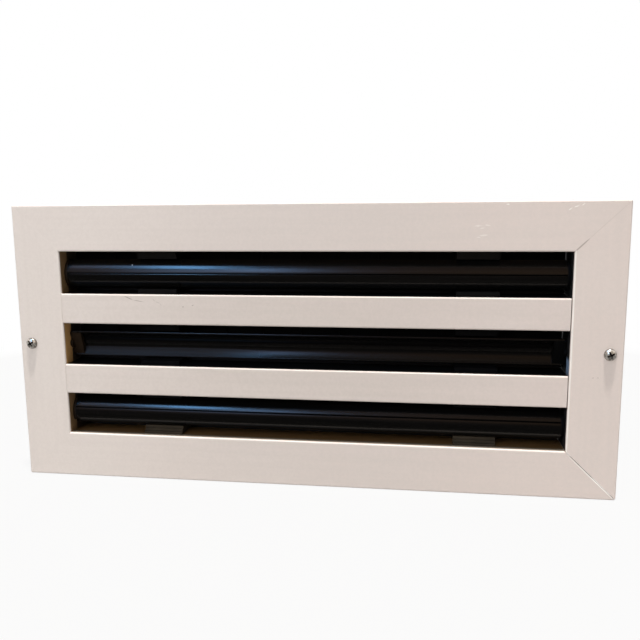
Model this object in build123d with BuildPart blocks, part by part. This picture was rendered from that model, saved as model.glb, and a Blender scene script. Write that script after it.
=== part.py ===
# Linear slot air outlet: a mitred border frame, two bars, three turning rollers and their dampers.
# +X runs to the right along the slots, +Z is up and +Y goes into the wall. The origin is at the centre
# of the face, on the wall plane that the border's lip rests on. Sizes are in millimetres.
from build123d import *
import math
import os

# Face and slots
SLOT_NAMES = ("top", "middle", "bottom")
BAR_NAMES = ("upper", "lower")
SIDES = {"left": -1, "right": 1}
slot_gap = 26.0            # clear height of each slot
bar_face = 18.5            # height of each bar's face
opening_len = 303.7        # clear length of the slots
rail_face = 28.2           # width of the border's face, top and bottom
stile_face = 29.15         # width of the border's face, left and right

# Extrusions of the frame and the bars
wall_t = 1.5
lip_depth = 5.0            # front of the face to the wall plane
neck_tail = 0.5            # neck past its rear rails
corner_round = 1.8         # outer corners of the border
outer_arris = 1.0          # front edge round the border
slot_arris = 0.9           # front edges of the slots
bar_end_gap = 0.5          # gap at the right end of each bar
mitre_gap_tight = 0.02     # gap of the closed mitres
mitre_gap_open = 0.3       # gap of the mitre at the lower right

# Rails inside the slots, which hold the cradles and the damper plates
rail_t = 1.2
rail_h = 1.5

# Corner keys and their channel behind the face
key_w = 9.4
key_t = 1.5
key_leg = 30.0
key_offset = 10.0          # slot edge to the middle of the channel
key_clear = 0.3
hook_t = 1.0
hook_reach = 1.2

# Rollers: C-section lengths that pivot near the middle of their chord
roller_wall_gap = 3.0      # roller to the nearer slot wall
roller_axis_drop = 1.0     # pivot off the middle of the slot
roller_recess = 0.7        # front of the face to the roller's sweep
roller_rise = 5.2          # crown above the chord
roller_wall = 1.5
roller_end_gap = 0.4       # roller end to the frame
pivot_inset = 0.5          # chord plane to the pivot
groove_w = 0.8
groove_depth = 0.7
rib_w = 2.4
rib_h = 1.2
lip_round = 0.6
roller_turn = {"top": 4.0, "middle": 164.0, "bottom": 20.0}   # crown above level, in degrees
thick_arm = {"top": 1, "middle": 1, "bottom": -1}             # 1 where the cradle's thick arm is on top

# End caps and pivots
cap_flange_t = 1.5
cap_plug_len = 5.5
cap_clear = 0.05
cap_round = 1.2
boss_r = 2.8
pin_r = 2.0
pin_clear = 0.05
pin_past_web = 1.0

# Cradles
cradle_w = 24.5
cradle_inset = {"left": 60.35, "right": 51.35}   # end of the slot to the middle of a cradle
cradle_clear = 0.3         # roller's sweep to the saddle
cradle_back = 2.0
cradle_front = 4.5         # front of the face to the cradle's arms
step_depth = 1.2
step_count = 3

# Hit-and-miss damper: a slide in front of a fixed plate
plate_t = 1.4
plate_side_clear = 0.2
plate_run_clear = 0.15
vane_pitch = 24.0
vane_lap = 0.3             # land past each edge of a closed hole
vane_margin = 1.0          # hole edge to rail
end_land = 2.0
lug_w = 8.0
lug_h = 3.0
lug_reach = 1.2

# Screws
shank_r = 1.75
shank_clear = 0.05
neck_r = 2.1               # thicker neck under a face screw's head
neck_short = 0.5           # end of that neck to the wall plane
head_r = 3.5
head_h = 2.5
head_flat = 1.6            # radius of the flat on top of a head
head_slope = 0.6           # drop of the head's upper slope
head_rim = 0.7             # height of the head's straight rim
recess_w = 1.1
recess_len = 4.2
recess_depth = 1.4
recess_turn = 30.0
face_screw_len = 32.0
face_screw_inset = 7.5     # outer edge to the face screws
face_hole_clear = 0.35
bar_screw_len = 14.0
bar_screw_depths = (9.0, 19.0)   # front of the face to the two screws in each bar end
screw_tip = 4.0
port_wall = 1.3
port_slit = 2.0

# Places worked out from the sizes above
slot_pitch = slot_gap + bar_face
slot_count = len(SLOT_NAMES)
opening_h = slot_count * slot_gap + (slot_count - 1) * bar_face
face_w = opening_len + 2 * stile_face
face_h = opening_h + 2 * rail_face
half_len = opening_len / 2
half_h = opening_h / 2
front_y = -lip_depth
roller_chord = slot_gap - 2 * (roller_wall_gap + roller_axis_drop)
roller_r = (roller_chord**2 / 4 + roller_rise**2) / (2 * roller_rise)
roller_sweep = math.hypot(roller_chord / 2, pivot_inset)
roller_y = front_y + roller_recess + roller_sweep
roller_len = opening_len - 2 * (roller_end_gap + cap_flange_t)
crown_reach = roller_rise - pivot_inset
arc_centre = crown_reach - roller_r
saddle_r = roller_sweep + cradle_clear
rail_y = roller_y + saddle_r + cradle_back
rear_rail_y = rail_y + rail_t + 2 * (plate_t + plate_run_clear)
neck_y = rear_rail_y + rail_t + neck_tail
neck_depth = neck_y - front_y
plate_h = slot_gap - 2 * plate_side_clear
vane_travel = vane_pitch / 2
vane_w = vane_pitch / 2 - 2 * vane_lap
vane_h = slot_gap - 2 * (rail_h + vane_margin)
vane_count = 2 * int((opening_len - vane_travel - 2 * end_land) / (2 * vane_pitch))
port_r = shank_r + shank_clear
port_offset = bar_face / 2 - wall_t - port_r - port_wall / 2


def slot_z(index):
    """Height of the middle of a slot, counted from the top."""
    return half_h - slot_gap / 2 - index * slot_pitch


def bar_z(index):
    """Height of the middle of a bar, counted from the top."""
    return slot_z(index) - slot_pitch / 2


def roller_z(name):
    """Height of a roller's pivot, off the slot's middle towards the cradle's thin arm."""
    return slot_z(SLOT_NAMES.index(name)) - thick_arm[name] * roller_axis_drop


def bar_screw_places():
    """Depth and height of each bar screw: one on each wall of each bar."""
    places = []
    for index in range(len(BAR_NAMES)):
        for depth, side in zip(bar_screw_depths, (1, -1)):
            places.append((front_y + depth, bar_z(index) + side * port_offset))
    return places


def save(piece, name):
    """Label a finished piece and write it as its own STEP file."""
    piece.part.label = name
    export_step(piece.part, f"parts/{name}.step")


def block(corner, opposite, mode=Mode.ADD):
    """Rectangle of the current sketch, between two opposite corners."""
    low = (min(corner[0], opposite[0]), min(corner[1], opposite[1]))
    with Locations(low):
        Rectangle(
            abs(opposite[0] - corner[0]),
            abs(opposite[1] - corner[1]),
            align=(Align.MIN, Align.MIN),
            mode=mode,
        )


def slot_rails(edge, into_slot):
    """Front and rear rails on a slot wall, in a section drawn from the front of the face."""
    for rail in (rail_y - front_y, rear_rail_y - front_y):
        block((rail, edge), (rail + rail_t, edge + into_slot * rail_h))


def key_channel():
    """Two hooked ribs behind the border's face."""
    roof = wall_t + key_t + key_clear
    for side in (-1, 1):
        rib = key_offset + side * (key_w / 2 + key_clear)
        block((0, rib), (roof + hook_t, rib + side * hook_t))
        block((roof, rib), (roof + hook_t, rib - side * hook_reach))


def crescent_arc(radius, chord_plane):
    """Arc about the roller's own centre, from one side of a chord plane to the other."""
    half_angle = math.degrees(math.acos((chord_plane - arc_centre) / radius))
    return CenterArc((arc_centre, 0), radius, -half_angle, 2 * half_angle)


def roller_plane(name, x, along):
    """Plane across a roller at x, with its first axis from the pivot to the crown."""
    turn = math.radians(roller_turn[name])
    to_crown = (0, -math.cos(turn), math.sin(turn))
    return Plane((x, roller_y, roller_z(name)), x_dir=to_crown, z_dir=(along, 0, 0))


def pan_screw(seat, out, across, length, neck, has_recess):
    """Pan-head screw whose head sits on seat and points along out, with a thicker neck under it."""
    with BuildPart() as screw:
        with BuildSketch(Plane(seat, x_dir=across, z_dir=across.cross(out))):
            with BuildLine():
                shoulder = (head_r - head_slope, head_h - head_slope)
                Polyline((0, head_h), (head_flat, head_h), shoulder, (head_r, head_rim), (head_r, 0))
                collar = [(neck_r, 0), (neck_r, -neck)] if neck > 0 else []
                shank = [(shank_r, -neck), (shank_r, screw_tip - length), (0, -length)]
                Polyline((head_r, 0), *collar, *shank)
                Line((0, -length), (0, head_h))
            make_face()
        revolve(axis=Axis(seat, out))
        if has_recess:
            recess = Plane(seat + out * head_h, x_dir=across, z_dir=out).rotated((0, 0, recess_turn))
            with BuildSketch(recess):
                Rectangle(recess_len, recess_w)
                Rectangle(recess_w, recess_len)
            extrude(amount=-recess_depth, mode=Mode.SUBTRACT)
    return screw


os.makedirs("parts", exist_ok=True)

# Border frame: four lengths of one section, mitred at the corners
OUTWARD = {"top": (0, 0, 1), "bottom": (0, 0, -1), "left": (-1, 0, 0), "right": (1, 0, 0)}
for side, direction in OUTWARD.items():
    outward = Vector(*direction)
    along = Vector(0, 1, 0).cross(outward)
    level = side in ("top", "bottom")
    slot_edge = half_h if level else half_len
    mitre_edge = half_len if level else half_h
    own_face, other_face = (rail_face, stile_face) if level else (stile_face, rail_face)
    start = Plane(outward * slot_edge + Vector(0, front_y, 0), x_dir=(0, 1, 0), z_dir=along)
    with BuildPart() as frame:
        with BuildSketch(start) as section:
            block((0, 0), (wall_t, own_face))
            block((0, 0), (neck_depth, wall_t))
            block((0, own_face), (lip_depth, own_face - wall_t))
            key_channel()
            if level:
                slot_rails(0, -1)
            fillet(section.vertices().group_by(Axis.X)[0].sort_by(Axis.Y)[-1], outer_arris)
            fillet(section.vertices().group_by(Axis.X)[0].sort_by(Axis.Y)[0], slot_arris)
        extrude(amount=mitre_edge + other_face, both=True)
        for end in (along, -along):
            corner = outward + end
            gap = mitre_gap_open if corner.X > 0 > corner.Z else mitre_gap_tight
            normal = (outward * other_face - end * own_face).normalized()
            mitre = Plane(outward * slot_edge + end * mitre_edge + normal * (gap / 2), z_dir=normal)
            split(bisect_by=mitre, keep=Keep.TOP)
        with BuildSketch(Plane.XZ.offset(-front_y)):
            RectangleRounded(face_w, face_h, corner_round)
        extrude(amount=-neck_depth, mode=Mode.INTERSECT)
        if side in SIDES:
            with BuildSketch(Plane.XZ.offset(-front_y)):
                with Locations((SIDES[side] * (face_w / 2 - face_screw_inset), 0)):
                    Circle(neck_r + face_hole_clear)
            extrude(amount=-lip_depth, mode=Mode.SUBTRACT)
            with BuildSketch(Plane.YZ.offset(SIDES[side] * half_len)):
                with Locations([(roller_y, roller_z(name)) for name in SLOT_NAMES]):
                    Circle(pin_r + pin_clear)
                with Locations(bar_screw_places()):
                    Circle(port_r)
            extrude(amount=SIDES[side] * wall_t, mode=Mode.SUBTRACT)
    save(frame, f"frame_{side}")

# Corner keys, one in the channels behind each mitre
for row, up in (("top", 1), ("bottom", -1)):
    for side, right in SIDES.items():
        with BuildPart() as key:
            with BuildSketch(Plane.XZ.offset(-front_y - wall_t)):
                x = right * (half_len + key_offset)
                z = up * (half_h + key_offset)
                elbow = (x + right * key_w / 2, z + up * key_w / 2)
                block(elbow, (x - right * key_leg, z - up * key_w / 2))
                block(elbow, (x - right * key_w / 2, z - up * key_leg))
            extrude(amount=-key_t)
        save(key, f"corner_key_{row}_{side}")

# Bars: channels with a screw port on each wall, butted to the left side of the frame
for index, name in enumerate(BAR_NAMES):
    with BuildPart() as bar:
        start = Plane((-half_len, front_y, bar_z(index)), x_dir=(0, 1, 0), z_dir=(1, 0, 0))
        with BuildSketch(start) as section:
            block((0, -bar_face / 2), (wall_t, bar_face / 2))
            for up in (-1, 1):
                edge = up * bar_face / 2
                block((0, edge), (neck_depth, edge - up * wall_t))
                slot_rails(edge, up)
            fillet(section.vertices().group_by(Axis.X)[0], slot_arris)
            for depth, up in zip(bar_screw_depths, (1, -1)):
                with Locations((depth, up * port_offset)):
                    Circle(port_r + port_wall)
                    Circle(port_r, mode=Mode.SUBTRACT)
                slit_start = (depth - port_slit / 2, up * port_offset)
                slit_end = (depth + port_slit / 2, up * (port_offset - port_r - port_wall))
                block(slit_start, slit_end, Mode.SUBTRACT)
        extrude(amount=opening_len - bar_end_gap)
    save(bar, f"bar_{name}")

# Bar screws, from outside the frame into the ports
screws = []
for right in SIDES.values():
    for y, z in bar_screw_places():
        seat = Vector(right * (half_len + wall_t), y, z)
        out = Vector(right, 0, 0)
        screw = pan_screw(seat, out, Vector(0, 0, 1), bar_screw_len, neck=0, has_recess=False)
        screws.append(screw.part)
with BuildPart() as bar_screws:
    add(screws)
save(bar_screws, "bar_screws")

# Face screws, from the front through the sides of the border
for side, right in SIDES.items():
    seat = Vector(right * (face_w / 2 - face_screw_inset), front_y, 0)
    neck = lip_depth - neck_short
    out = Vector(0, -1, 0)
    face_screw = pan_screw(seat, out, Vector(1, 0, 0), face_screw_len, neck, has_recess=True)
    save(face_screw, f"face_screw_{side}")

# Rollers: a grooved crown outside, a rib inside and rounded lips
for name in SLOT_NAMES:
    with BuildPart() as roller:
        with BuildSketch(roller_plane(name, 0, 1)) as section:
            with BuildLine():
                outer = crescent_arc(roller_r, -pivot_inset)
                half_angle = math.degrees(math.asin(roller_chord / 2 / roller_r))
                inner = CenterArc((arc_centre, 0), roller_r - roller_wall, -half_angle, 2 * half_angle)
                Line(outer @ 0, inner @ 0)
                Line(outer @ 1, inner @ 1)
            make_face()
            rib_root = crown_reach - roller_wall
            block((rib_root - rib_h, -rib_w / 2), (rib_root + roller_wall / 2, rib_w / 2))
            groove = (crown_reach - groove_depth, -groove_w / 2)
            block(groove, (crown_reach + groove_depth, groove_w / 2), Mode.SUBTRACT)
            lips = section.vertices().sort_by(Axis.X)[:4]
            fillet(lips, min(lip_round, 0.45 * roller_wall))
        extrude(amount=roller_len / 2, both=True)
    save(roller, f"roller_{name}")

# End caps: a flange over the roller's end, a plug inside it, and the pivot pin on its boss
for name in SLOT_NAMES:
    for side, right in SIDES.items():
        cap_end = roller_plane(name, right * (half_len - roller_end_gap), -right)
        with BuildPart() as cap:
            with BuildSketch(cap_end) as flange:
                with BuildLine():
                    rim = crescent_arc(roller_r, -pivot_inset)
                    Line(rim @ 0, rim @ 1)
                make_face()
                fillet(flange.vertices(), cap_round)
                Circle(boss_r)
            extrude(amount=cap_flange_t)
            with BuildSketch(cap_end):
                with BuildLine():
                    fit = crescent_arc(roller_r - roller_wall - cap_clear, -pivot_inset)
                    Line(fit @ 0, fit @ 1)
                make_face()
                notch = (crown_reach - roller_wall - rib_h - cap_clear, -rib_w / 2 - cap_clear)
                block(notch, (crown_reach, rib_w / 2 + cap_clear), Mode.SUBTRACT)
            extrude(amount=cap_flange_t + cap_plug_len)
            with BuildSketch(cap_end):
                Circle(pin_r)
            extrude(amount=-(roller_end_gap + wall_t + pin_past_web))
        save(cap, f"cap_{name}_{side}")

# Cradles: a saddle behind each roller, with a stepped foot on its thick arm
for index, name in enumerate(SLOT_NAMES):
    up = thick_arm[name]
    thick_wall = slot_z(index) + up * slot_gap / 2
    thin_wall = slot_z(index) - up * slot_gap / 2
    arm_front = front_y + cradle_front
    arm_step = (thick_wall - roller_z(name) - up * saddle_r) / step_count
    for side, right in SIDES.items():
        with BuildPart() as cradle:
            cradle_x = right * (half_len - cradle_inset[side])
            with BuildSketch(Plane.YZ.offset(cradle_x - cradle_w / 2)):
                block((arm_front, thick_wall), (rail_y, thin_wall))
                with Locations((roller_y, roller_z(name))):
                    Circle(saddle_r, mode=Mode.SUBTRACT)
                mouth = (roller_y, roller_z(name) + saddle_r)
                block((arm_front, roller_z(name) - saddle_r), mouth, Mode.SUBTRACT)
                for step in range(1, step_count):
                    edge = thick_wall - step * arm_step
                    block((arm_front, edge), (arm_front + step * step_depth, edge - arm_step), Mode.SUBTRACT)
            extrude(amount=cradle_w)
        save(cradle, f"cradle_{name}_{side}")

# Dampers: the slide's holes stand half a pitch from the fixed plate's, so the rest pose is closed
for index, name in enumerate(SLOT_NAMES):
    with BuildPart() as plate:
        with BuildSketch(Plane.XZ.offset(-rear_rail_y)):
            with Locations((0, slot_z(index))):
                Rectangle(opening_len - 2 * plate_side_clear, plate_h)
                with GridLocations(vane_pitch, vane_h, vane_count, 1):
                    Rectangle(vane_w, vane_h, mode=Mode.SUBTRACT)
        extrude(amount=plate_t)
    save(plate, f"damper_plate_{name}")
    slide_front = rail_y + rail_t + plate_run_clear
    with BuildPart() as slide:
        with BuildSketch(Plane.XZ.offset(-slide_front - plate_t)):
            with Locations((-vane_travel / 2, slot_z(index))):
                Rectangle(opening_len - 2 * plate_side_clear - vane_travel, plate_h)
            with Locations((-vane_travel, slot_z(index))):
                with GridLocations(vane_pitch, vane_h, vane_count, 1):
                    Rectangle(vane_w, vane_h, mode=Mode.SUBTRACT)
        extrude(amount=plate_t)
        with BuildSketch(Plane.XZ.offset(-slide_front)):
            with Locations((-vane_travel, slot_z(index))):
                Rectangle(lug_w, lug_h)
        extrude(amount=lug_reach)
    save(slide, f"damper_slide_{name}")
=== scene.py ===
"""Dresses the linear slot air outlet: its finishes, smooth rollers, threaded screws and the studio."""

import logging
import math
from dataclasses import dataclass, field
from enum import Enum

import bpy
from mathutils import Matrix, Vector

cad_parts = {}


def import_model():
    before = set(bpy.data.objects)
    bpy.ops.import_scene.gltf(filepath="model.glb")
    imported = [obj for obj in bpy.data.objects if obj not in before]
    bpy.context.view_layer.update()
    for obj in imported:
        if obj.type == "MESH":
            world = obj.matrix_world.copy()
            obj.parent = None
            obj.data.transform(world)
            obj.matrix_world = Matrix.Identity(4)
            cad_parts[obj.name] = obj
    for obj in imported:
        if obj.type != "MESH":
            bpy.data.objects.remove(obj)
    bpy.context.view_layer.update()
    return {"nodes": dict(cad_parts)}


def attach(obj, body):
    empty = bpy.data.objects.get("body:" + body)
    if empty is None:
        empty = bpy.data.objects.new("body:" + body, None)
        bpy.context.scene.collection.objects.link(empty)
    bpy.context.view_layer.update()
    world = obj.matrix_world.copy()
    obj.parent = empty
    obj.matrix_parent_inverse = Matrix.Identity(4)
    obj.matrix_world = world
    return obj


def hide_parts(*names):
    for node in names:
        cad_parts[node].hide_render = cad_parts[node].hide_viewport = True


LOG = logging.getLogger("slot_outlet")
SLOTS = ("top", "middle", "bottom")
SIDES = ("left", "right")
MM_PER_M = 1000
Socket = bpy.types.NodeSocket
Colour = tuple[float, float, float, float]
Axes = tuple[float, float, float]
Span = tuple[float, float]
Value = Socket | float | Colour | Axes


def tone(red: int, green: int, blue: int) -> Colour:
    """Turn a display colour into the linear colour that a shader takes.

    Args:
        red: Red from 0 to 255.
        green: Green from 0 to 255.
        blue: Blue from 0 to 255.

    Returns:
        The linear colour with full alpha.
    """
    parts = []
    for part in (red, green, blue):
        share = part / 255
        parts.append(share / 12.92 if share <= 0.04045 else ((share + 0.055) / 1.055) ** 2.4)
    return (*parts, 1.0)


@dataclass(frozen=True)
class Sizes:
    """Sizes that the finishes and the new pieces share, in metres."""

    front: float = -0.005
    wall: float = 0.0015
    half_length: float = 0.15185
    half_height: float = 0.0575
    slot_pitch: float = 0.0445
    pivot_depth: float = 0.004714
    pivot_drop: float = 0.001
    screw_x: float = 0.1735
    head_radius: float = 0.0035
    head_height: float = 0.0025


SIZES = Sizes()


class NodeSheet:
    """Adds nodes to one tree, for the finishes, the shapes and the world alike."""

    def __init__(self, tree: bpy.types.NodeTree) -> None:
        """Start on a tree.

        Args:
            tree: Tree that gets the nodes.
        """
        self.tree = tree

    def feed(self, socket: Socket, value: Value) -> None:
        """Link a socket to another one, or set its own value.

        Args:
            socket: Input to feed.
            value: Output to link, or a constant.
        """
        if isinstance(value, Socket):
            self.tree.links.new(value, socket)
        else:
            socket.default_value = value

    def node(self, kind: str, **inputs: Value) -> bpy.types.Node:
        """Add a node and feed its inputs, named with underscores in place of spaces.

        Args:
            kind: Type of the node.
            inputs: Outputs to link, or constants.

        Returns:
            The node.
        """
        made = self.tree.nodes.new(kind)
        for name, value in inputs.items():
            self.feed(made.inputs[name.replace("_", " ")], value)
        return made

    def calc(self, operation: str, *values: Value) -> Socket:
        """Add one step of arithmetic.

        Args:
            operation: Operation of the Math node.
            values: Its inputs in order.

        Returns:
            The result.
        """
        made = self.node("ShaderNodeMath")
        made.operation = operation
        for socket, value in zip(made.inputs, values):
            self.feed(socket, value)
        return made.outputs[0]

    def times(self, first: Value, second: Value) -> Socket:
        """Multiply two values."""
        return self.calc("MULTIPLY", first, second)

    def squares(self, *values: Value) -> Value:
        """Add up the squares of some values.

        Args:
            values: The values.

        Returns:
            The sum.
        """
        total: Value = 0.0
        for value in values:
            total = self.calc("MULTIPLY_ADD", value, value, total)
        return total

    def blend(self, share: Value, first: Value, second: Value) -> Socket:
        """Mix two colours.

        Args:
            share: Share of the second colour.
            first: First colour.
            second: Second colour.

        Returns:
            The mixed colour.
        """
        made = self.node("ShaderNodeMix")
        made.data_type = "RGBA"
        for index, value in ((0, share), (6, first), (7, second)):
            self.feed(made.inputs[index], value)
        return made.outputs[2]

    def mix_shaders(self, share: Socket, first: Socket, second: Socket) -> Socket:
        """Mix two shaders.

        Args:
            share: Share of the second shader.
            first: First shader.
            second: Second shader.

        Returns:
            The mixed shader.
        """
        made = self.node("ShaderNodeMixShader")
        for socket, value in zip(made.inputs, (share, first, second)):
            self.feed(socket, value)
        return made.outputs[0]


class Graph(NodeSheet):
    """Lays out the nodes of one material on the object's own coordinates."""

    def __init__(self, name: str) -> None:
        """Start a material with its coordinates split into X, Y and Z.

        Args:
            name: Name of the material.
        """
        self.material = bpy.data.materials.new(name)
        self.material.use_nodes = True
        super().__init__(self.material.node_tree)
        self.shader = self.tree.nodes["Principled BSDF"]
        self.position = self.node("ShaderNodeTexCoord").outputs["Object"]
        self.x, self.y, self.z = self.node("ShaderNodeSeparateXYZ", Vector=self.position).outputs

    def rise(self, value: Value, low: float, high: float) -> Socket:
        """Add a smooth step from 0 at low to 1 at high.

        Args:
            value: What is measured.
            low: Value at which the step starts.
            high: Value at which it ends.

        Returns:
            The step.
        """
        made = self.node("ShaderNodeMapRange", Value=value, From_Min=low, From_Max=high)
        made.interpolation_type = "SMOOTHSTEP"
        return made.outputs["Result"]

    def noise(self, scale: float | Axes, detail: float = 3.0) -> Socket:
        """Add a noise pattern in the object's coordinates.

        Args:
            scale: Waves per metre, one number or one for each axis.
            detail: Detail of the noise.

        Returns:
            The noise, about 0 to 1.
        """
        waves = scale if isinstance(scale, tuple) else (scale, scale, scale)
        mapping = self.node("ShaderNodeMapping", Vector=self.position, Scale=waves)
        place = mapping.outputs["Vector"]
        return self.node("ShaderNodeTexNoise", Vector=place, Scale=1.0, Detail=detail).outputs["Fac"]

    def bump(self, height: Socket, strength: float, distance: float) -> None:
        """Feed the shader's normal from a height pattern.

        Args:
            height: The pattern.
            strength: Strength of the bump.
            distance: Real height of the pattern in metres.
        """
        made = self.node("ShaderNodeBump", Strength=strength, Distance=distance, Height=height)
        self.feed(self.shader.inputs["Normal"], made.outputs["Normal"])

    def set(self, **values: Value) -> None:
        """Feed the shader's inputs, named with underscores in place of spaces."""
        for name, value in values.items():
            self.feed(self.shader.inputs[name.replace("_", " ")], value)


@dataclass(frozen=True)
class Mark:
    """A scuff, scratch or speck on the face, or a painted highlight line, in millimetres about the middle of
    the outlet.
    """

    x: float
    z: float
    length: float
    width: float
    turn: float
    colour: Colour
    strength: float
    ragged: bool = False
    soft_edge: Span = (1.0, 0.3)
    torn_edge: Span = (1.5, 0.7)
    tear: float = 1.5
    tear_scale: Axes = (1400, 1400, 2400)

    def mask(self, graph: Graph) -> Socket:
        """Add the mark's mask.

        Args:
            graph: Material that carries the mark.

        Returns:
            The mask, as strong as the mark in its middle.
        """
        across = graph.calc("SUBTRACT", graph.x, self.x / MM_PER_M)
        up = graph.calc("SUBTRACT", graph.z, self.z / MM_PER_M)
        cos, sin = math.cos(math.radians(self.turn)), math.sin(math.radians(self.turn))
        along = graph.calc("ADD", graph.times(across, cos), graph.times(up, sin))
        off = graph.calc("SUBTRACT", graph.times(up, cos), graph.times(across, sin))
        halves = (self.length / 2, self.width / 2)
        far = graph.squares(*(graph.times(way, MM_PER_M / half) for way, half in zip((along, off), halves)))
        edge = self.soft_edge
        if self.ragged:
            far = graph.calc("ADD", far, graph.times(graph.noise(self.tear_scale), self.tear))
            edge = self.torn_edge
        return graph.times(graph.rise(far, *edge), self.strength)


DARK_SCRATCH = tone(84, 68, 58)
SPECK = tone(120, 104, 94)
# pale colour of the scuffs, also used for painted highlight lines
PALE_SCUFF_AND_HIGHLIGHT = tone(252, 249, 243)
MITRE_LINE = tone(188, 176, 166)
UPPER_MITRE = Mark(166.4, 71.6, 48.0, 0.5, 44.0, MITRE_LINE, 0.3)
UPPER_CORNER = Mark(155.1, 60.6, 14.0, 1.0, 44.0, tone(150, 136, 128), 0.6)
STILE_MARKS = (
    UPPER_MITRE,
    UPPER_CORNER,
    # painted highlight: the right stile's inner edge catching the light
    Mark(152.3, 0.0, 200.0, 1.6, 90, PALE_SCUFF_AND_HIGHLIGHT, 0.6),
    Mark(-143.1, 65.1, 1.1, 0.9, 0, SPECK, 0.6),
    Mark(164.9, -13.5, 1.1, 0.8, 10, SPECK, 0.35),
    Mark(167.6, -13.4, 1.0, 0.7, 0, SPECK, 0.35),
)
RAIL_MARKS = (
    UPPER_MITRE,
    UPPER_CORNER,
    # painted highlight: the lower right mitre's edge catching the light
    Mark(168.5, -74.3, 48.0, 0.7, -44.0, PALE_SCUFF_AND_HIGHLIGHT, 0.9),
    Mark(99.2, 71.9, 6.0, 1.3, 3, PALE_SCUFF_AND_HIGHLIGHT, 0.35, True),
    Mark(104.6, 72.2, 4.6, 1.1, -8, PALE_SCUFF_AND_HIGHLIGHT, 0.35, True),
    Mark(101.6, 70.6, 3.6, 0.9, 12, PALE_SCUFF_AND_HIGHLIGHT, 0.35, True),
    Mark(102.3, 66.6, 7.2, 1.4, 5, PALE_SCUFF_AND_HIGHLIGHT, 0.35, True),
    Mark(99.8, 65.5, 3.0, 0.9, -10, PALE_SCUFF_AND_HIGHLIGHT, 0.35, True),
    Mark(148.4, 80.8, 3.6, 0.9, 34, PALE_SCUFF_AND_HIGHLIGHT, 0.65, True),
    Mark(151.8, 82.3, 4.2, 1.0, 20, PALE_SCUFF_AND_HIGHLIGHT, 0.7, True),
    Mark(155.2, 83.3, 3.2, 0.9, 40, PALE_SCUFF_AND_HIGHLIGHT, 0.6, True),
    Mark(115.1, 83.7, 2.6, 1.0, 0, PALE_SCUFF_AND_HIGHLIGHT, 0.7, True),
)
BAR_MARKS = (
    Mark(-108.2, 29.3, 6.6, 0.6, -23, DARK_SCRATCH, 0.5),
    Mark(-101.9, 27.5, 7.6, 0.5, -10, DARK_SCRATCH, 0.42),
    Mark(-92.2, 28.2, 2.4, 0.6, -50, DARK_SCRATCH, 0.22),
    Mark(-89.8, 26.7, 3.4, 0.5, -20, DARK_SCRATCH, 0.24),
    Mark(-87.9, 25.4, 1.6, 0.6, -60, DARK_SCRATCH, 0.2),
    Mark(-73.9, 24.2, 1.0, 0.8, 0, SPECK, 0.6),
    Mark(-67.8, 25.2, 1.4, 0.7, 20, SPECK, 0.5),
)


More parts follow.
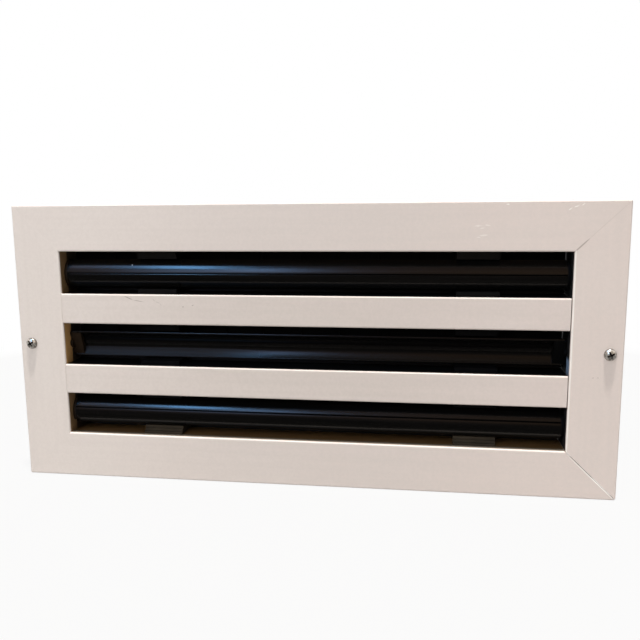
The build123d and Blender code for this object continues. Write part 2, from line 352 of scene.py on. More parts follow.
@dataclass(frozen=True)
class Enamel:
    """Satin white stoving enamel that thins out inside the slots, where the walls can carry painted shade
    and painted light.
    """

    name: str
    marks: tuple[Mark, ...]
    coat_depth: float
    dull_depth: float
    # wall colours inside the slots: on the stiles and rails they are painted shade, tan for warm light in
    # the shade, darker in the outer slots and near-black on the right stile's wall
    middle_coat_and_shade: Colour
    outer_coat_and_shade: Colour
    dull: Colour
    right_wall_shade: Colour | None = None
    fray: float = 0.0012
    drawn: Axes = (7, 7, 260)
    white: Colour = tone(219, 205, 198)
    pale: Colour = tone(221, 213, 207)
    grey: Colour = tone(208, 199, 193)
    thin: Colour = tone(165, 160, 155)
    black: Colour = tone(9, 9, 9)
    # painted light: colour of a patch of bluish window light on the right stile's wall
    window_light: Colour = tone(132, 156, 186)
    cloud_scale: float = 14
    cloud_share: float = 0.6
    left_fade: Span = (0.1, -0.17)
    middle_fade: Span = (0.15, 0.03)
    middle_share: float = 0.5
    grain_span: Span = (0.35, 0.65)
    line_share: float = 0.17
    mottle_scale: float = 700
    mottle_share: float = 0.2
    mark_depth: float = 0.0003
    opening_room: float = 0.0004
    fray_scale: float = 220
    behind_fade: Span = (0.8 * SIZES.wall, SIZES.wall)
    outer_fade: Span = (0.016, 0.026)
    coat_fade: Span = (0.001, 0.0016)
    window_light_drop: float = 0.0085
    window_light_fade: Span = (0.006, 0.003)
    window_light_depth: Span = (0.0096, 0.008)
    roughness: float = 0.42
    specular: float = 0.3
    peel_scale: float = 900
    peel_strength: float = 0.08
    peel_height: float = 0.00005

    def face(self, graph: Graph, depth: Socket) -> Socket:
        """Colour the face, with its clouds, drawn lines, mottle and marks.

        Args:
            graph: Material that carries the enamel.
            depth: Depth behind the face's front.

        Returns:
            The face's colour.
        """
        left = graph.calc("ADD", graph.noise(self.cloud_scale), graph.rise(graph.x, *self.left_fade))
        colour = graph.blend(graph.times(left, self.cloud_share), self.white, self.pale)
        middle = graph.rise(graph.calc("ABSOLUTE", graph.x), *self.middle_fade)
        lines = graph.rise(graph.noise(self.drawn), *self.grain_span)
        mottle = graph.rise(graph.noise(self.mottle_scale), *self.grain_span)
        shade = graph.calc("MULTIPLY_ADD", middle, self.middle_share, graph.times(lines, self.line_share))
        shade = graph.calc("MULTIPLY_ADD", mottle, self.mottle_share, shade)
        colour = graph.blend(shade, colour, self.grey)
        on_face = graph.calc("LESS_THAN", depth, self.mark_depth)
        for mark in self.marks:
            colour = graph.blend(graph.times(mark.mask(graph), on_face), colour, mark.colour)
        return colour

    def lining(self, graph: Graph, depth: Socket, colour: Socket) -> Socket:
        """Thin the enamel out on the back and inside the slots, and paint shade and light on the slot walls.

        Args:
            graph: Material that carries the enamel.
            depth: Depth behind the face's front.
            colour: The face's colour.

        Returns:
            The colour all over.
        """
        across = graph.calc("ABSOLUTE", graph.x)
        height = graph.calc("ABSOLUTE", graph.z)
        inside = graph.times(
            graph.calc("LESS_THAN", across, SIZES.half_length + self.opening_room),
            graph.calc("LESS_THAN", height, SIZES.half_height + self.opening_room),
        )
        behind = graph.times(graph.rise(depth, *self.behind_fade), graph.calc("SUBTRACT", 1.0, inside))
        colour = graph.blend(behind, colour, self.thin)
        # painted shade: the wall colour changes from the middle slot to the outer slots, which get less
        # light
        coat_and_shade = graph.blend(graph.rise(height, *self.outer_fade), self.middle_coat_and_shade, self.outer_coat_and_shade)
        dull: Value = self.dull
        # painted shade: the right stile's wall faces away from the light and is painted near-black, also in
        # its dull zone
        if self.right_wall_shade:
            right = graph.calc("GREATER_THAN", graph.x, 0.0)
            # painted light: a patch of bluish window light low in the middle slot, near the front of the
            # right stile's wall
            low = graph.calc("ABSOLUTE", graph.calc("ADD", graph.z, self.window_light_drop))
            window_light = graph.times(graph.rise(low, *self.window_light_fade), graph.rise(depth, *self.window_light_depth))
            coat_and_shade = graph.blend(right, coat_and_shade, graph.blend(window_light, self.right_wall_shade, self.window_light))
            dull = graph.blend(right, self.dull, self.black)
        colour = graph.blend(graph.times(inside, graph.rise(depth, *self.coat_fade)), colour, coat_and_shade)
        ragged = graph.calc("ADD", depth, graph.times(graph.noise(self.fray_scale), self.fray))
        # further in: the dull colour, which on the stiles and rails is unpainted metal darkened as painted
        # warm shade, then black
        for edge, paint in ((self.coat_depth, dull), (self.dull_depth, self.black)):
            share = graph.times(inside, graph.rise(ragged, edge, edge + self.fray))
            colour = graph.blend(share, colour, paint)
        return colour

    def material(self) -> bpy.types.Material:
        """Make the enamel.

        Returns:
            The material.
        """
        graph = Graph(self.name)
        depth = graph.calc("SUBTRACT", graph.y, SIZES.front)
        colour = self.lining(graph, depth, self.face(graph, depth))
        graph.set(Base_Color=colour, Roughness=self.roughness, Specular_IOR_Level=self.specular)
        graph.bump(graph.noise(self.peel_scale, 1.0), self.peel_strength, self.peel_height)
        return graph.material


@dataclass(frozen=True)
class Plain:
    """A finish of one colour, with a little unevenness in it, and where asked a painted shade above a
    height.
    """

    name: str
    colour: Colour
    shade: Colour
    roughness: float
    specular: float = 0.5
    metallic: float = 0.0
    grain_scale: float = 90
    grain_span: Span = (0.35, 0.7)
    relief: float = 0.0
    relief_strength: float = 0.2
    # height above which the finish is painted dark as shade
    dim_above: float | None = None
    dim: Colour = tone(8, 8, 8)

    def material(self) -> bpy.types.Material:
        """Make the finish.

        Returns:
            The material.
        """
        graph = Graph(self.name)
        grain = graph.noise(self.grain_scale)
        colour = graph.blend(graph.rise(grain, *self.grain_span), self.colour, self.shade)
        # painted shade: darker above the given height
        if self.dim_above is not None:
            colour = graph.blend(graph.calc("GREATER_THAN", graph.z, self.dim_above), colour, self.dim)
        graph.set(
            Base_Color=colour,
            Roughness=self.roughness,
            Specular_IOR_Level=self.specular,
            Metallic=self.metallic,
        )
        if self.relief:
            graph.bump(grain, self.relief_strength, self.relief)
        return graph.material


@dataclass(frozen=True)
class Gloss:
    """Gloss black with fine drawn lines, a film of dust on the left half and a single speck."""

    name: str
    specular: float
    film: float = 0.0
    speck: Axes | None = None
    roughness: float = 0.2
    film_roughness: float = 0.6
    film_fade: Span = (-0.015, -0.07)
    film_drop: Span = (-0.003, -0.005)
    speck_radius: float = 0.0004
    speck_edge: Span = (1.0, 0.4)
    drawn: Axes = (6, 500, 500)
    drawn_span: Span = (0.35, 0.7)
    black: Colour = tone(6, 6, 6)
    shade: Colour = tone(14, 13, 12)
    dust: Colour = tone(22, 20, 20)
    bright: Colour = tone(190, 205, 225)

    def material(self) -> bpy.types.Material:
        """Make the gloss black.

        Returns:
            The material.
        """
        graph = Graph(self.name)
        lines = graph.rise(graph.noise(self.drawn), *self.drawn_span)
        colour = graph.blend(lines, self.black, self.shade)
        roughness: Value = self.roughness
        if self.film:
            spread = graph.times(graph.rise(graph.x, *self.film_fade), graph.rise(graph.z, *self.film_drop))
            share = graph.times(spread, self.film)
            colour = graph.blend(share, colour, self.dust)
            rougher = self.film_roughness - self.roughness
            roughness = graph.calc("MULTIPLY_ADD", share, rougher, self.roughness)
        if self.speck:
            off = (graph.calc("SUBTRACT", *pair) for pair in zip((graph.x, graph.y, graph.z), self.speck))
            far = graph.squares(*(graph.calc("DIVIDE", part, self.speck_radius) for part in off))
            colour = graph.blend(graph.rise(far, *self.speck_edge), colour, self.bright)
        graph.set(Base_Color=colour, Roughness=roughness, Specular_IOR_Level=self.specular)
        return graph.material


@dataclass(frozen=True)
class Plated:
    """Bright plating on the screws, with painted shade in the face screws' recesses, a painted contact
    shadow round the heads and blotches standing in for reflections.
    """

    name: str
    bright: Colour = tone(226, 222, 214)
    shade: Colour = tone(140, 136, 128)
    # painted shade in the face screws' recesses
    recess_shade: Colour = tone(34, 31, 28)
    # painted contact shadow round the base of each face screw's head
    rim: Colour = tone(72, 64, 56)
    metal_scale: float = 600
    metal_span: Span = (0.4, 0.65)
    recess: Span = (0.93, 0.8)
    recess_shade_fade: Span = (-0.5, 0.0)
    least_recess_shade: float = 0.5
    rim_shadow_fade: Span = (0.6, 0.15)
    rim_shadow_share: float = 0.8
    roughness: float = 0.22
    specular: float = 0.5
    metallic: float = 0.6

    def material(self) -> bpy.types.Material:
        """Make the plating.

        Returns:
            The material.
        """
        graph = Graph(self.name)
        off = graph.calc("SUBTRACT", graph.calc("ABSOLUTE", graph.x), SIZES.screw_x)
        across = graph.calc("DIVIDE", off, SIZES.head_radius)
        up = graph.calc("DIVIDE", graph.z, SIZES.head_radius)
        out = graph.calc("DIVIDE", graph.calc("SUBTRACT", SIZES.front, graph.y), SIZES.head_height)
        on_face = graph.calc("GREATER_THAN", out, 0.0)
        # painted shade: the face screws' recesses are darker, most at the top, which the light from above
        # doesn't reach
        sunk = graph.times(graph.rise(graph.squares(across, up, out), *self.recess), on_face)
        recess_shade_share = graph.calc(
            "MULTIPLY_ADD", graph.rise(up, *self.recess_shade_fade), 1 - self.least_recess_shade, self.least_recess_shade
        )
        # painted shadow: a dark ring where the head meets the face
        rim = graph.times(graph.rise(out, *self.rim_shadow_fade), on_face)
        # painted reflection: random bright and dark blotches standing in for the head's patchy reflections
        reflection_blotches = graph.rise(graph.noise(self.metal_scale), *self.metal_span)
        metal = graph.blend(reflection_blotches, self.bright, self.shade)
        metal = graph.blend(graph.times(rim, self.rim_shadow_share), metal, self.rim)
        graph.set(
            Base_Color=graph.blend(graph.times(sunk, recess_shade_share), metal, self.recess_shade),
            Roughness=self.roughness,
            Specular_IOR_Level=self.specular,
            Metallic=self.metallic,
        )
        return graph.material


class Finish(Enum):
    """The outlet's finishes."""

    STILE_ENAMEL = Enamel(
        "stile enamel",
        STILE_MARKS,
        0.0096,
        0.0262,
        # painted shade: tan for white enamel in warm shade in the middle slot, a darker tan in the outer
        # slots, dull brown further in, near-black on the right wall
        tone(203, 158, 102),
        tone(130, 104, 73),
        tone(62, 52, 40),
        tone(40, 41, 43),
        drawn=(260, 7, 7),
    )
    RAIL_ENAMEL = Enamel(
        # grey slot floors for a thin enamel darkened as painted shade, dull brown further in for unpainted
        # metal in painted warm shade
        "rail enamel", RAIL_MARKS, 0.0050, 0.0205, tone(108, 99, 88), tone(108, 99, 88), tone(92, 69, 40)
    )
    BAR_ENAMEL = Enamel(
        "bar enamel",
        BAR_MARKS,
        0.0010,
        0.0022,
        tone(217, 204, 197),
        tone(217, 204, 197),
        tone(40, 36, 33),
        fray=0.0003,
        white=tone(215, 201, 195),
        pale=tone(219, 211, 205),
        grey=tone(202, 193, 186),
    )
    TOP_ROLLER = Gloss("top roller black", 0.4, speck=(-0.1076, 0.00178, 0.04891))
    MIDDLE_ROLLER = Gloss("middle roller black", 0.28, film=1.0)
    BOTTOM_ROLLER = Gloss("bottom roller black", 0.4)
    # painted light and shade: the same cap moulding is brown on the left, for warm reflected light, and
    # near-black on the right
    LEFT_CAP = Plain("left cap moulding", tone(34, 25, 16), tone(40, 30, 20), 0.6, 0.1)
    RIGHT_CAP = Plain("right cap moulding", tone(6, 6, 6), tone(8, 8, 8), 0.6, 0.08)
    # painted light and shade: one cradle moulding in three tones by slot, lightest in the bottom slot where
    # light reaches it, and darkened above the bottom slot's middle
    TOP_CRADLE = Plain("top cradle moulding", tone(17, 16, 14), tone(21, 19, 17), 0.6, 0.08, relief=0.00002)
    MIDDLE_CRADLE = Plain("middle cradle moulding", tone(6, 6, 6), tone(9, 9, 9), 0.6, 0.08, relief=0.00002)
    BOTTOM_CRADLE = Plain(
        "bottom cradle moulding",
        tone(52, 46, 37),
        tone(60, 53, 43),
        0.6,
        0.08,
        relief=0.00002,
        dim_above=-SIZES.slot_pitch,
    )
    DAMPER_BLACK = Plain("damper paint", tone(10, 10, 10), tone(14, 14, 14), 0.7, 0.1)
    MILL_ALUMINIUM = Plain("mill aluminium", tone(196, 196, 198), tone(180, 180, 182), 0.38, 0.5, 1.0)
    SCREW_NICKEL = Plated("bright nickel")


class FinishShelf:
    """Makes each finish once and hands it out."""

    def __init__(self) -> None:
        """Start with nothing made."""
        self.made: dict[Finish, bpy.types.Material] = {}

    def get(self, finish: Finish) -> bpy.types.Material:
        """Find or make a finish.

        Args:
            finish: The finish wanted.

        Returns:
            Its material.
        """
        if finish not in self.made:
            self.made[finish] = finish.value.material()
        return self.made[finish]

    def dress(self, node: bpy.types.Object, finish: Finish) -> None:
        """Put a finish on every face of a solid and report it.

        Args:
            node: The solid's object.
            finish: The finish it gets.
        """
        for slot in node.material_slots:
            slot.material = self.get(finish)
        LOG.info("%s: %s", node.name, finish.value.name)


class NodeTree(NodeSheet):
    """Lays out one Geometry Nodes tree with named inputs."""

    def __init__(self, name: str) -> None:
        """Start a tree with a geometry input and output.

        Args:
            name: Name of the tree.
        """
        super().__init__(bpy.data.node_groups.new(name, "GeometryNodeTree"))
        self.tree.is_modifier = True
        self.tree.interface.new_socket("Geometry", in_out="INPUT", socket_type="NodeSocketGeometry")
        self.tree.interface.new_socket("Geometry", in_out="OUTPUT", socket_type="NodeSocketGeometry")
        self.identifiers: dict[str, str] = {}
        self.group_input = self.tree.nodes.new("NodeGroupInput")
        self.group_output = self.tree.nodes.new("NodeGroupOutput")

    def size(self, name: str, kind: str = "NodeSocketFloat") -> Socket:
        """Add a named input.

        Args:
            name: Name of the input.
            kind: Type of its socket.

        Returns:
            The socket to link from.
        """
        socket = self.tree.interface.new_socket(name, in_out="INPUT", socket_type=kind)
        self.identifiers[name] = socket.identifier
        return self.group_input.outputs[socket.identifier]

    def vector(self, x: Value = 0.0, y: Value = 0.0, z: Value = 0.0) -> Socket:
        """Join three numbers into a vector."""
        return self.node("ShaderNodeCombineXYZ", X=x, Y=y, Z=z).outputs[0]

    def shift(self, geometry: Socket, size: Value, share: float) -> Socket:
        """Move geometry up by a share of a size."""
        place = self.vector(z=self.times(size, share))
        return self.node("GeometryNodeTransform", Geometry=geometry, Translation=place).outputs[0]

    def join(self, *parts: Socket) -> Socket:
        """Join pieces of geometry.

        Args:
            parts: The pieces, in order.

        Returns:
            All of them.
        """
        made = self.node("GeometryNodeJoinGeometry")
        for part in parts:
            self.feed(made.inputs[0], part)
        return made.outputs[0]

    def smooth(self, geometry: Socket, angle: float) -> Socket:
        """Shade faces smooth, apart from edges sharper than an angle.

        Args:
            geometry: The mesh.
            angle: Angle in radians past which an edge stays sharp.

        Returns:
            The shaded mesh.
        """
        faces = self.node("GeometryNodeSetShadeSmooth", Geometry=geometry)
        sharp = self.node("FunctionNodeCompare")
        sharp.operation = "GREATER_THAN"
        bend = self.node("GeometryNodeInputMeshEdgeAngle")
        self.feed(sharp.inputs[0], bend.outputs["Unsigned Angle"])
        self.feed(sharp.inputs[1], angle)
        edges = self.node("GeometryNodeSetShadeSmooth", Geometry=faces.outputs[0], Shade_Smooth=False)
        edges.domain = "EDGE"
        self.feed(edges.inputs["Selection"], sharp.outputs[0])
        return edges.outputs[0]

    def finish(self, geometry: Socket) -> None:
        """End the tree with real geometry in the finish it was given.

        Args:
            geometry: What the tree made.
        """
        material = self.size("Finish", "NodeSocketMaterial")
        real = self.node("GeometryNodeRealizeInstances", Geometry=geometry)
        dressed = self.node("GeometryNodeSetMaterial", Geometry=real.outputs[0], Material=material)
        self.feed(self.group_output.inputs[0], dressed.outputs[0])

    def make(self, name: str, mesh: bpy.types.Mesh, **values: object) -> bpy.types.Object:
        """Run the tree on a mesh and keep the result as a plain mesh.

        Args:
            name: Name of the piece.
            mesh: Mesh that the tree starts from.
            values: The named inputs, with underscores in place of spaces.

        Returns:
            The piece, at the origin.
        """
        piece = bpy.data.objects.new(name, mesh)
        bpy.context.scene.collection.objects.link(piece)
        modifier = piece.modifiers.new(self.tree.name, "NODES")
        modifier.node_group = self.tree
        for label, value in values.items():
            modifier[self.identifiers[label.replace("_", " ")]] = value
        graph = bpy.context.evaluated_depsgraph_get()
        result = bpy.data.meshes.new_from_object(piece.evaluated_get(graph), depsgraph=graph)
        piece.modifiers.clear()
        piece.data = result
        result.name = name
        bpy.data.meshes.remove(mesh)
        return piece


@dataclass
class Border:
    """The mitred border frame and the keys in its corners."""

    shelf: FinishShelf
    nodes: dict[str, bpy.types.Object]

    def dress(self) -> None:
        """Put enamel on the frame and plain unpainted metal on the keys."""
        for side in ("top", "bottom"):
            self.shelf.dress(self.nodes[f"frame_{side}"], Finish.RAIL_ENAMEL)
        for side in SIDES:
            self.shelf.dress(self.nodes[f"frame_{side}"], Finish.STILE_ENAMEL)
            for row in ("top", "bottom"):
                self.shelf.dress(self.nodes[f"corner_key_{row}_{side}"], Finish.MILL_ALUMINIUM)


@dataclass
class Bars:
    """The two bars between the slots."""

    shelf: FinishShelf
    nodes: dict[str, bpy.types.Object]

    def dress(self) -> None:
        """Put enamel on the bars, black inside the slots."""
        for name in ("upper", "lower"):
            self.shelf.dress(self.nodes[f"bar_{name}"], Finish.BAR_ENAMEL)


@dataclass
class Fittings:
    """The mouldings and plates inside the slots."""

    shelf: FinishShelf
    nodes: dict[str, bpy.types.Object]

    def dress(self) -> None:
        """Put each fitting in its finish."""
        for slot in SLOTS:
            for side in SIDES:
                # left and right caps take differently lit copies of one moulding: painted light and shade
                cap = Finish.LEFT_CAP if side == "left" else Finish.RIGHT_CAP
                self.shelf.dress(self.nodes[f"cap_{slot}_{side}"], cap)
                # the cradles' finish is picked by slot: differently lit copies of one moulding
                self.shelf.dress(self.nodes[f"cradle_{slot}_{side}"], Finish[f"{slot.upper()}_CRADLE"])
            self.shelf.dress(self.nodes[f"damper_plate_{slot}"], Finish.DAMPER_BLACK)
            self.shelf.dress(self.nodes[f"damper_slide_{slot}"], Finish.DAMPER_BLACK)


@dataclass
class Rollers:
    """The three C-section rollers, with finely rounded crowns."""

    shelf: FinishShelf
    half_length: float = 0.14995
    chord: float = 0.018
    rise: float = 0.0052
    wall: float = 0.0015
    pivot_inset: float = 0.0005
    groove_width: float = 0.0008
    groove_depth: float = 0.0007
    groove_chamfer: float = 0.00014
    chamfer_drop: float = 0.00007
    rib_width: float = 0.0024
    rib_height: float = 0.0012
    lip_round: float = 0.0006
    steps: int = 40
    lip_steps: int = 12
    weld: float = 1e-6
    crease: float = math.radians(20)
    turns: dict[str, float] = field(default_factory=lambda: {"top": 4.0, "middle": 164.0, "bottom": 20.0})
    drops: dict[str, int] = field(default_factory=lambda: {"top": -1, "middle": -1, "bottom": 1})

    def section(self) -> list[Span]:
        """Draw the roller's section, with its first axis from the pivot to the crown.

        Returns:
            The corners of the outline, in order.
        """
        outer = (self.chord**2 / 4 + self.rise**2) / (2 * self.rise)
        inner = outer - self.wall
        crown = self.rise - self.pivot_inset
        centre = crown - outer
        half = math.asin(self.chord / 2 / outer)
        lip = self.lip_round / outer

        def arc(radius: float, start: float, end: float) -> list[Span]:
            """Points of an arc about the section's centre."""
            angles = [start + (end - start) * step / self.steps for step in range(self.steps + 1)]
            return [(centre + radius * math.cos(angle), radius * math.sin(angle)) for angle in angles]

        def lip_points(side: int) -> list[Span]:
            """Round the end of one arm, from the outside to the inside.

            Args:
                side: 1 for the upper arm, -1 for the lower.

            Returns:
                The points of the round.
            """
            middle = (outer + inner) / 2
            points = []
            for step in range(1, self.lip_steps):
                swing = math.pi * step / self.lip_steps
                radius = middle + self.wall / 2 * math.cos(swing)
                angle = side * (half - lip + lip * math.sin(swing))
                points.append((centre + radius * math.cos(angle), radius * math.sin(angle)))
            return points

        groove = math.asin((self.groove_width / 2 + self.groove_chamfer) / outer)
        wall_top = centre + outer * math.cos(groove) - self.chamfer_drop
        rib = math.asin(self.rib_width / 2 / inner)
        rib_face = centre + inner * math.cos(rib) - self.rib_height
        floor = crown - self.groove_depth
        outline = arc(outer, -half + lip, -groove)
        outline += [(wall_top, -self.groove_width / 2), (floor, 0.0), (wall_top, self.groove_width / 2)]
        outline += arc(outer, groove, half - lip) + lip_points(1)
        outline += arc(inner, half - lip, rib)
        outline += [(rib_face, self.rib_width / 2), (rib_face, -self.rib_width / 2)]
        outline += arc(inner, -rib, -half + lip) + lip_points(-1)[::-1]
        return outline

    def tree(self) -> NodeTree:
        """Build the tree that draws a section out to its length.

        Returns:
            The tree, with an input for the length.
        """
        made = NodeTree("roller extrusion")
        length = made.size("Length")
        face = made.group_input.outputs[0]
        drawn = made.node("GeometryNodeExtrudeMesh", Mesh=face, Offset=made.vector(x=1.0), Individual=False)
        made.feed(drawn.inputs["Offset Scale"], length)
        back = made.node("GeometryNodeFlipFaces", Mesh=face)
        both = made.join(drawn.outputs["Mesh"], back.outputs[0])
        weld = made.node("GeometryNodeMergeByDistance", Geometry=both, Distance=self.weld)
        made.finish(made.smooth(weld.outputs[0], self.crease))
        return made

    def build(self) -> None:
        """Make the three rollers in place of their solids."""
        tree = self.tree()
        outline = self.section()
        for index, slot in enumerate(SLOTS):
            turn = math.radians(self.turns[slot])
            height = (1 - index) * SIZES.slot_pitch + self.drops[slot] * SIZES.pivot_drop
            points = []
            for u, v in outline:
                y = SIZES.pivot_depth - u * math.cos(turn) - v * math.sin(turn)
                z = height + u * math.sin(turn) - v * math.cos(turn)
                points.append((-self.half_length, y, z))
            mesh = bpy.data.meshes.new("roller section")
            mesh.from_pydata(points, [], [list(range(len(points)))])
            finish = self.shelf.get(Finish[f"{slot.upper()}_ROLLER"])
            piece = tree.make(f"roller_{slot}_smooth", mesh, Length=2 * self.half_length, Finish=finish)
            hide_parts(f"roller_{slot}")
            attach(piece, f"roller_{slot}")
            LOG.info("%s: %d faces", piece.name, len(piece.data.polygons))


@dataclass
class Screws:
    """The face screws and the bar screws, with crossed recesses and threads."""

    shelf: FinishShelf
    head_radius: float = SIZES.head_radius
    head_height: float = SIZES.head_height
    shank_radius: float = 0.00175
    thread_pitch: float = 0.0013
    tip: float = 0.004
    neck_radius: float = 0.0021
    neck_length: float = 0.0045
    face_length: float = 0.032
    bar_length: float = 0.014
    bar_depths: Span = (0.009, 0.019)
    port_offset: float = 0.0053
    face_turns: Span = (32.0, 24.0)
    bar_turn: float = 17.0
    bar_turn_step: float = 41.0
    recess_length: float = 1.2
    recess_width: float = 0.3
    recess_rise: float = 0.95
    core_share: float = 0.78
    point_radius: float = 0.00005
    sides: int = 24
    crease: float = 0.6

    def head(self, made: NodeTree) -> Socket:
        """Add a domed head with a crossed recess.

        Args:
            made: Tree that gets the head.

        Returns:
            The head, its seat at the origin.
        """
        radius = made.size("Head Radius")
        height = made.size("Head Height")
        ball = made.node("GeometryNodeMeshUVSphere", Segments=40, Rings=24, Radius=1.0)
        dome = made.node("GeometryNodeTransform", Geometry=ball.outputs["Mesh"])
        made.feed(dome.inputs["Scale"], made.vector(radius, radius, height))
        cut = made.node("GeometryNodeMeshBoolean")
        cut.operation = "DIFFERENCE"
        cut.solver = "EXACT"
        made.feed(cut.inputs["Mesh 1"], dome.outputs[0])
        # a block twice as wide as the head takes the ball's lower half away
        wide = made.times(radius, 4.0)
        under = made.node("GeometryNodeMeshCube", Size=made.vector(wide, wide, wide))
        made.feed(cut.inputs["Mesh 2"], made.shift(under.outputs[0], wide, -0.5))
        arm = made.times(radius, self.recess_length)
        slit = made.times(radius, self.recess_width)
        for size in (made.vector(arm, slit, height), made.vector(slit, arm, height)):
            bar = made.node("GeometryNodeMeshCube", Size=size)
            made.feed(cut.inputs["Mesh 2"], made.shift(bar.outputs[0], height, self.recess_rise))
        return cut.outputs["Mesh"]

    def shank(self, made: NodeTree) -> list[Socket]:
        """Add the rod, the neck, the point and the thread.

        Args:
            made: Tree that gets them.

        Returns:
            The four pieces, hung from the origin.
        """
        radius = made.size("Shank Radius")
        length = made.size("Length")
        pitch = made.size("Thread Pitch")
        tip = made.size("Tip")
        neck_radius = made.size("Neck Radius")
        neck_length = made.size("Neck Length")
        core = made.times(radius, self.core_share)
        straight = made.calc("SUBTRACT", length, tip)
        rod = made.node("GeometryNodeMeshCylinder", Vertices=self.sides, Radius=core, Depth=straight)
        neck = made.node("GeometryNodeMeshCylinder", Vertices=self.sides, Radius=neck_radius)
        made.feed(neck.inputs["Depth"], neck_length)
        point = made.node("GeometryNodeMeshCone", Vertices=self.sides, Radius_Top=core, Depth=tip)
        made.feed(point.inputs["Radius Bottom"], self.point_radius)
        turns = made.calc("DIVIDE", straight, pitch)
        helix = made.node("GeometryNodeCurveSpiral", Resolution=self.sides, Rotations=turns, Height=straight)
        for end in ("Start Radius", "End Radius"):
            made.feed(helix.inputs[end], core)
        crest = made.calc("SUBTRACT", radius, core)
        ridge = made.node("GeometryNodeCurvePrimitiveCircle", Resolution=4, Radius=crest)
        thread = made.node("GeometryNodeCurveToMesh", Curve=helix.outputs[0], Fill_Caps=True)
        made.feed(thread.inputs["Profile Curve"], ridge.outputs[0])
        return [
            made.shift(rod.outputs["Mesh"], straight, -0.5),
            made.shift(neck.outputs["Mesh"], neck_length, -0.5),
            made.shift(point.outputs["Mesh"], length, -1.0),
            made.shift(thread.outputs[0], straight, -1.0),
        ]

    def tree(self) -> NodeTree:
        """Build the tree that puts a screw on every point, along the point's own direction.

        Returns:
            The tree, with inputs for the screw's sizes.
        """
        made = NodeTree("screw set")
        parts = [self.head(made), *self.shank(made)]
        screw = made.join(*[made.smooth(part, self.crease) for part in parts])
        out = made.node("GeometryNodeInputNamedAttribute", Name="out")
        out.data_type = "FLOAT_VECTOR"
        turn = made.node("GeometryNodeInputNamedAttribute", Name="turn")
        turn.data_type = "FLOAT"
        aim = made.node("FunctionNodeAlignRotationToVector", Vector=out.outputs[0])
        aim.axis = "Z"
        spin = made.node("FunctionNodeAxisAngleToRotation", Angle=turn.outputs[0])
        both = made.node("FunctionNodeRotateRotation", Rotation=aim.outputs[0], Rotate_By=spin.outputs[0])
        both.rotation_space = "LOCAL"
        points = made.node("GeometryNodeMeshToPoints", Mesh=made.group_input.outputs[0])
        placed = made.node("GeometryNodeInstanceOnPoints", Points=points.outputs[0], Instance=screw)
        made.feed(placed.inputs["Rotation"], both.outputs[0])
        made.finish(placed.outputs[0])
        return made

    def points(self, places: list[tuple[Vector, Vector, float]]) -> bpy.types.Mesh:
        """Lay out the screws' seats.

        Args:
            places: Seat, direction of the head and turn in degrees of each screw.

        Returns:
            A mesh with a vertex for each seat.
        """
        mesh = bpy.data.meshes.new("screw seats")
        mesh.from_pydata([seat for seat, _, _ in places], [], [])
        mesh.attributes.new("out", "FLOAT_VECTOR", "POINT")
        mesh.attributes.new("turn", "FLOAT", "POINT")
        for index, (_, direction, degrees) in enumerate(places):
            mesh.attributes["out"].data[index].vector = direction
            mesh.attributes["turn"].data[index].value = math.radians(degrees)
        return mesh

    def build(self) -> None:
        """Make both sets of screws in place of their solids."""
        tree = self.tree()
        face = []
        bar = []
        for side, turn in zip((-1, 1), self.face_turns):
            face.append((Vector((side * SIZES.screw_x, SIZES.front, 0)), Vector((0, -1, 0)), turn))
            web = side * (SIZES.half_length + SIZES.wall)
            for middle in (SIZES.slot_pitch / 2, -SIZES.slot_pitch / 2):
                for depth, up in zip(self.bar_depths, (1, -1)):
                    seat = Vector((web, SIZES.front + depth, middle + up * self.port_offset))
                    bar.append((seat, Vector((side, 0, 0)), self.bar_turn + self.bar_turn_step * len(bar)))
        hidden = self.shank_radius / 2
        face_nodes = ("face_screw_left", "face_screw_right")
        for name, places, length, neck, nodes in (
            ("face_screws", face, self.face_length, self.neck_radius, face_nodes),
            ("bar_screws_threaded", bar, self.bar_length, hidden, ("bar_screws",)),
        ):
            piece = tree.make(
                name,
                self.points(places),
                Head_Radius=self.head_radius,
                Head_Height=self.head_height,
                Shank_Radius=self.shank_radius,
                Length=length,
                Thread_Pitch=self.thread_pitch,
                Tip=self.tip,
                Neck_Radius=neck,
                Neck_Length=self.neck_length,
                Finish=self.shelf.get(Finish.SCREW_NICKEL),
            )
            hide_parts(*nodes)
            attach(piece, "frame")
            LOG.info("%s: %d faces", piece.name, len(piece.data.polygons))


@dataclass(frozen=True)
class Lamp:
    """A soft lamp of the studio."""

    name: str
    place: Axes
    size: Span
    power: float
    colour: Axes
    gloss: bool = True
    diffuse: bool = True
    roll: float = 0.0

    def build(self) -> None:
        """Hang the lamp, turned to the outlet."""
        light = bpy.data.lights.new(self.name, "AREA")
        light.shape = "RECTANGLE"
        light.size, light.size_y = self.size
        light.energy = self.power
        light.color = self.colour
        lamp = bpy.data.objects.new(self.name, light)
        lamp.location = self.place
        aim = (-Vector(self.place)).to_track_quat("-Z", "Y").to_matrix()
        lamp.rotation_euler = (aim @ Matrix.Rotation(math.radians(self.roll), 3, "Z")).to_euler()
        lamp.visible_glossy = self.gloss
        lamp.visible_diffuse = self.diffuse
        bpy.context.scene.collection.objects.link(lamp)


WHITE: Colour = (1, 1, 1, 1)
DIM_ROOM: Colour = (0.05, 0.045, 0.04, 1)


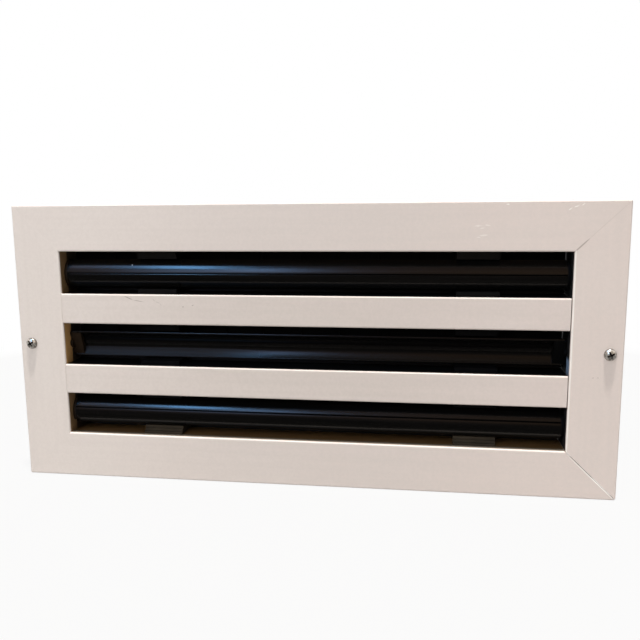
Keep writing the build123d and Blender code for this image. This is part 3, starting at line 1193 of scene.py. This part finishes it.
@dataclass
class Studio:
    """The pale floor, the light and the camera."""

    floor_height: float = -0.0859
    floor_radius: float = 0.6
    floor_sides: int = 96
    floor_colour: Colour = (0.32, 0.318, 0.316, 1)
    floor_roughness: float = 0.9
    floor_rim: Span = (0.45, 0.97)
    floor_white: float = 0.9
    floor_front: Span = (0.02, -0.02)
    sky: Colour = (1.0, 0.985, 0.975, 1)
    sky_strength: float = 0.4
    sky_edge: float = 0.1
    room: tuple[tuple[float, Colour], ...] = (
        (0.0, DIM_ROOM),
        (0.3, (0.4, 0.24, 0.13, 1)),
        (0.9, (0.26, 0.18, 0.13, 1)),
        (1.0, (0.95, 0.93, 0.9, 1)),
    )
    lens: float = 39.70
    eye: Axes = (0.0686, -0.4109, 0.0823)
    right: Axes = (0.98975, 0.14250, -0.00828)
    up: Axes = (-0.01418, 0.15583, 0.98768)
    back: Axes = (0.14203, -0.97745, 0.15626)
    lamps: tuple[Lamp, ...] = (
        Lamp("front softbox", (-0.8, -2.0, 1.0), (1.6, 1.6), 26.4, (0.99, 0.985, 1.0), gloss=False),
        Lamp("back softbox", (0.8, 2.0, 1.0), (1.6, 1.6), 22.0, (1.0, 0.985, 0.98), gloss=False),
        Lamp("ceiling lamp", (0.17, -0.42, 3.6), (0.17, 0.17), 188.0, (1.0, 0.965, 0.91)),
        Lamp("window", (-0.655, -0.95, 1.4), (0.15, 1.2), 15.5, (0.2, 0.53, 1.0), diffuse=False, roll=28.0),
        Lamp("low window", (-0.43, -1.47, 0.88), (0.12, 0.6), 2.0, (0.3, 0.55, 1.0), diffuse=False),
        Lamp("sill", (-0.55, -1.6, 0.62), (0.5, 0.5), 2.5, (0.36, 0.58, 1.0), diffuse=False),
        Lamp("curtain", (-1.1, -1.0, 1.36), (0.6, 1.0), 1.6, (0.8, 0.76, 1.0), diffuse=False),
    )

    def background_share(self, sheet: NodeSheet) -> Socket:
        """Tell rays that see the background from rays that carry light.

        Args:
            sheet: Nodes that ask.

        Returns:
            1 for camera, glossy and transmission rays.
        """
        path = sheet.node("ShaderNodeLightPath")
        share = path.outputs["Is Camera Ray"]
        for name in ("Is Glossy Ray", "Is Transmission Ray"):
            share = sheet.calc("MAXIMUM", share, path.outputs[name])
        return share

    def build_world(self) -> None:
        """Make a white background behind the outlet and a dim warm room in front of it."""
        world = bpy.data.worlds.new("studio")
        bpy.context.scene.world = world
        world.use_nodes = True
        sheet = NodeSheet(world.node_tree)
        light = sheet.tree.nodes["Background"]
        sheet.feed(light.inputs["Color"], self.sky)
        sheet.feed(light.inputs["Strength"], self.sky_strength)
        coords = sheet.node("ShaderNodeTexCoord")
        split = sheet.node("ShaderNodeSeparateXYZ", Vector=coords.outputs["Generated"])
        behind = sheet.node("ShaderNodeMapRange", Value=split.outputs["Y"])
        sheet.feed(behind.inputs["From Min"], -self.sky_edge)
        sheet.feed(behind.inputs["From Max"], self.sky_edge)
        path = sheet.node("ShaderNodeLightPath")
        seen = sheet.calc("MAXIMUM", behind.outputs[0], path.outputs["Is Camera Ray"])
        room_tone = sheet.node("ShaderNodeValToRGB", Fac=split.outputs["Z"])
        stops = room_tone.color_ramp.elements
        for place, _ in self.room[1:-1]:
            stops.new(place)
        for stop, (_, shade) in zip(stops, self.room):
            stop.color = shade
        room = sheet.node("ShaderNodeBackground", Color=sheet.blend(seen, room_tone.outputs[0], WHITE))
        surface = sheet.mix_shaders(self.background_share(sheet), light.outputs[0], room.outputs[0])
        sheet.feed(sheet.tree.nodes["World Output"].inputs["Surface"], surface)

    def build_floor(self) -> None:
        """Lay a pale floor that keeps a soft shadow."""
        mesh = bpy.data.meshes.new("floor")
        corners = []
        for index in range(self.floor_sides):
            turn = 2 * math.pi * index / self.floor_sides
            across, along = self.floor_radius * math.cos(turn), self.floor_radius * math.sin(turn)
            corners.append((across, along, self.floor_height))
        mesh.from_pydata(corners, [], [list(range(self.floor_sides))])
        floor = bpy.data.objects.new("floor", mesh)
        bpy.context.scene.collection.objects.link(floor)
        graph = Graph("pale floor")
        graph.set(Base_Color=self.floor_colour, Roughness=self.floor_roughness, Specular_IOR_Level=0.0)
        away = graph.calc("SQRT", graph.squares(graph.x, graph.y))
        rim = graph.rise(away, *(share * self.floor_radius for share in self.floor_rim))
        seen = graph.times(self.background_share(graph), graph.calc("MAXIMUM", rim, self.floor_white))
        path = graph.node("ShaderNodeLightPath")
        dark = graph.times(path.outputs["Is Glossy Ray"], graph.rise(graph.y, *self.floor_front))
        glow = graph.node("ShaderNodeEmission", Color=graph.blend(dark, WHITE, DIM_ROOM))
        share = graph.calc("MAXIMUM", seen, dark)
        surface = graph.mix_shaders(share, graph.shader.outputs[0], glow.outputs[0])
        graph.feed(graph.tree.nodes["Material Output"].inputs["Surface"], surface)
        mesh.materials.append(graph.material)

    def build_camera(self) -> None:
        """Stand the camera at the photograph's viewing angle."""
        camera = bpy.data.cameras.new("camera")
        camera.lens = self.lens
        camera.sensor_width = 36.0
        camera.clip_start = 0.01
        stand = bpy.data.objects.new("camera", camera)
        columns = (*zip(self.right, self.up, self.back, self.eye), (0, 0, 0, 1))
        stand.matrix_world = Matrix(columns)
        bpy.context.scene.collection.objects.link(stand)
        bpy.context.scene.camera = stand

    def build(self) -> None:
        """Set up the whole studio."""
        self.build_world()
        self.build_floor()
        for lamp in self.lamps:
            lamp.build()
        self.build_camera()
        bpy.context.scene.view_settings.view_transform = "Standard"


def main() -> None:
    """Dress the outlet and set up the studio."""
    logging.basicConfig(level=logging.INFO, format="%(name)s %(message)s")
    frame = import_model()
    shelf = FinishShelf()
    nodes = frame["nodes"]
    Border(shelf, nodes).dress()
    Bars(shelf, nodes).dress()
    Fittings(shelf, nodes).dress()
    Rollers(shelf).build()
    Screws(shelf).build()
    Studio().build()


if __name__ == "__main__":
    main()
